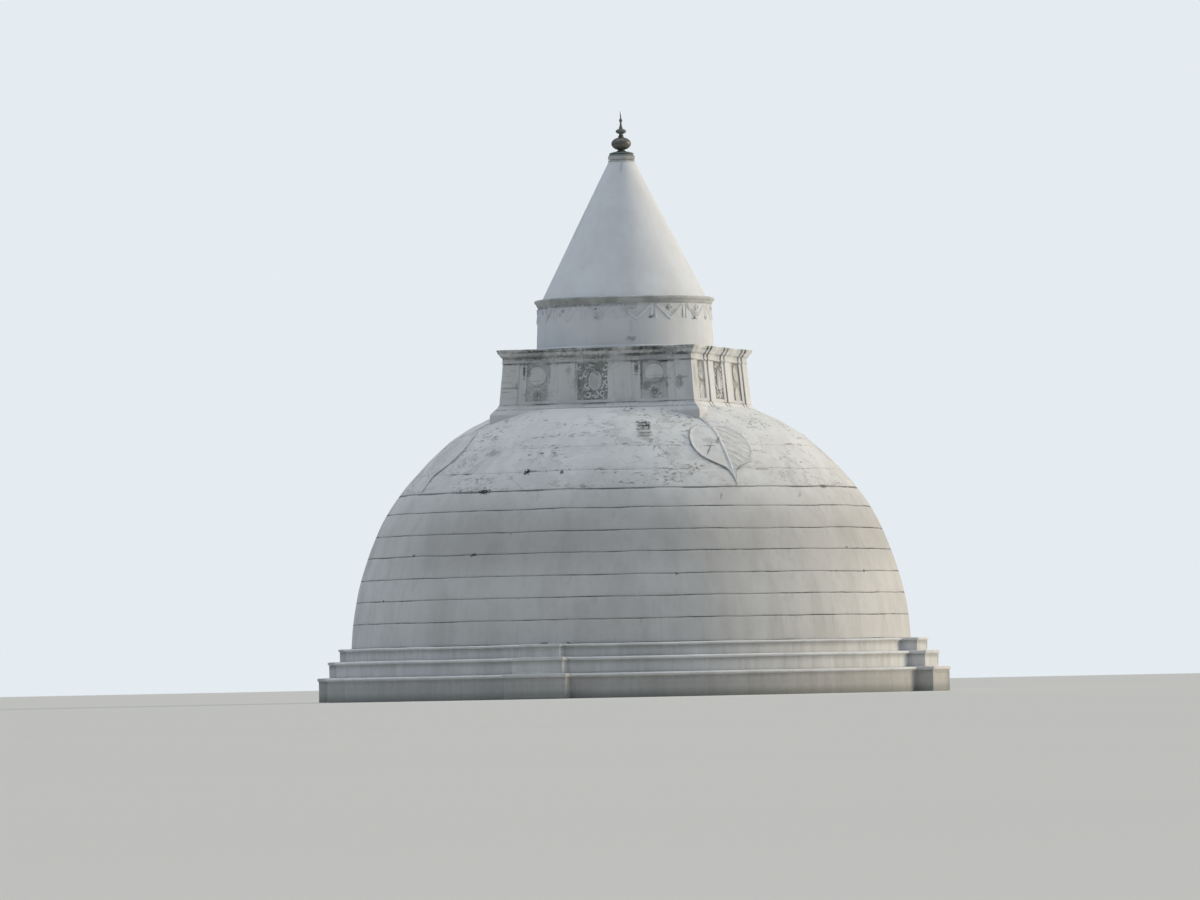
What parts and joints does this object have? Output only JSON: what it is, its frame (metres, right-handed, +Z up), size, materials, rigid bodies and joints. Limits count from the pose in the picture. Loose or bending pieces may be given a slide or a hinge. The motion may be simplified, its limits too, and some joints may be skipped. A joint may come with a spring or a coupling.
{
  "type": "stupa, 1:2 scale model",
  "caption": "Scale model of a whitewashed bubble-shaped stupa: round terraces, a great dome with leaf reliefs, a panelled square tower, a drum, a cone and a brass pinnacle.",
  "frame": {"origin": "centre of the underside of the lowest terrace", "axes": "+Z up along the spire, -Y towards the front face of the square tower and the front altar block"},
  "size_m": [30.6, 30.6, 27.9],
  "materials": {
    "whitewash": "aged lime whitewash on plastered brick",
    "weathered_plaster": "rain-streaked and stained lime plaster",
    "lichen_plaster": "plaster grown over with grey-green lichen",
    "aged_brass": "dull brown gilded metal",
    "crystal": "clear faceted crystal"
  },
  "bodies": {
    "root": {"back_altar": "whitewash", "back_facing": "weathered_plaster", "cone_spire": "whitewash", "crystal_tip": "crystal", "dome_crown": "weathered_plaster", "dome_lift_1": "whitewash", "dome_lift_2": "whitewash", "dome_lift_3": "whitewash", "dome_lift_4": "whitewash", "dome_lift_5": "whitewash", "dome_lift_6": "whitewash", "dome_lift_7": "whitewash", "dome_lift_8": "whitewash", "dome_lift_9": "whitewash", "drum_cornice": "lichen_plaster", "drum_foot": "whitewash", "drum_wall": "whitewash", "finial_spike": "aged_brass", "front_altar": "whitewash", "front_facing": "weathered_plaster", "garland_band": "weathered_plaster", "great_orb": "aged_brass", "leaf_back_left": "whitewash", "leaf_back_right": "whitewash", "leaf_front_left": "whitewash", "leaf_front_right": "whitewash", "left_altar": "whitewash", "left_facing": "weathered_plaster", "pier_back_left": "whitewash", "pier_back_right": "whitewash", "pier_front_left": "whitewash", "pier_front_right": "whitewash", "pinnacle_flange": "aged_brass", "right_altar": "whitewash", "right_facing": "weathered_plaster", "small_orb": "aged_brass", "spire_collar": "whitewash", "terrace_lower": "whitewash", "terrace_middle": "whitewash", "terrace_upper": "whitewash", "tower_core": "weathered_plaster", "tower_cornice": "lichen_plaster", "tower_frieze": "weathered_plaster", "tower_plinth": "whitewash", "tower_skirt": "whitewash"}
  },
  "joints": []
}
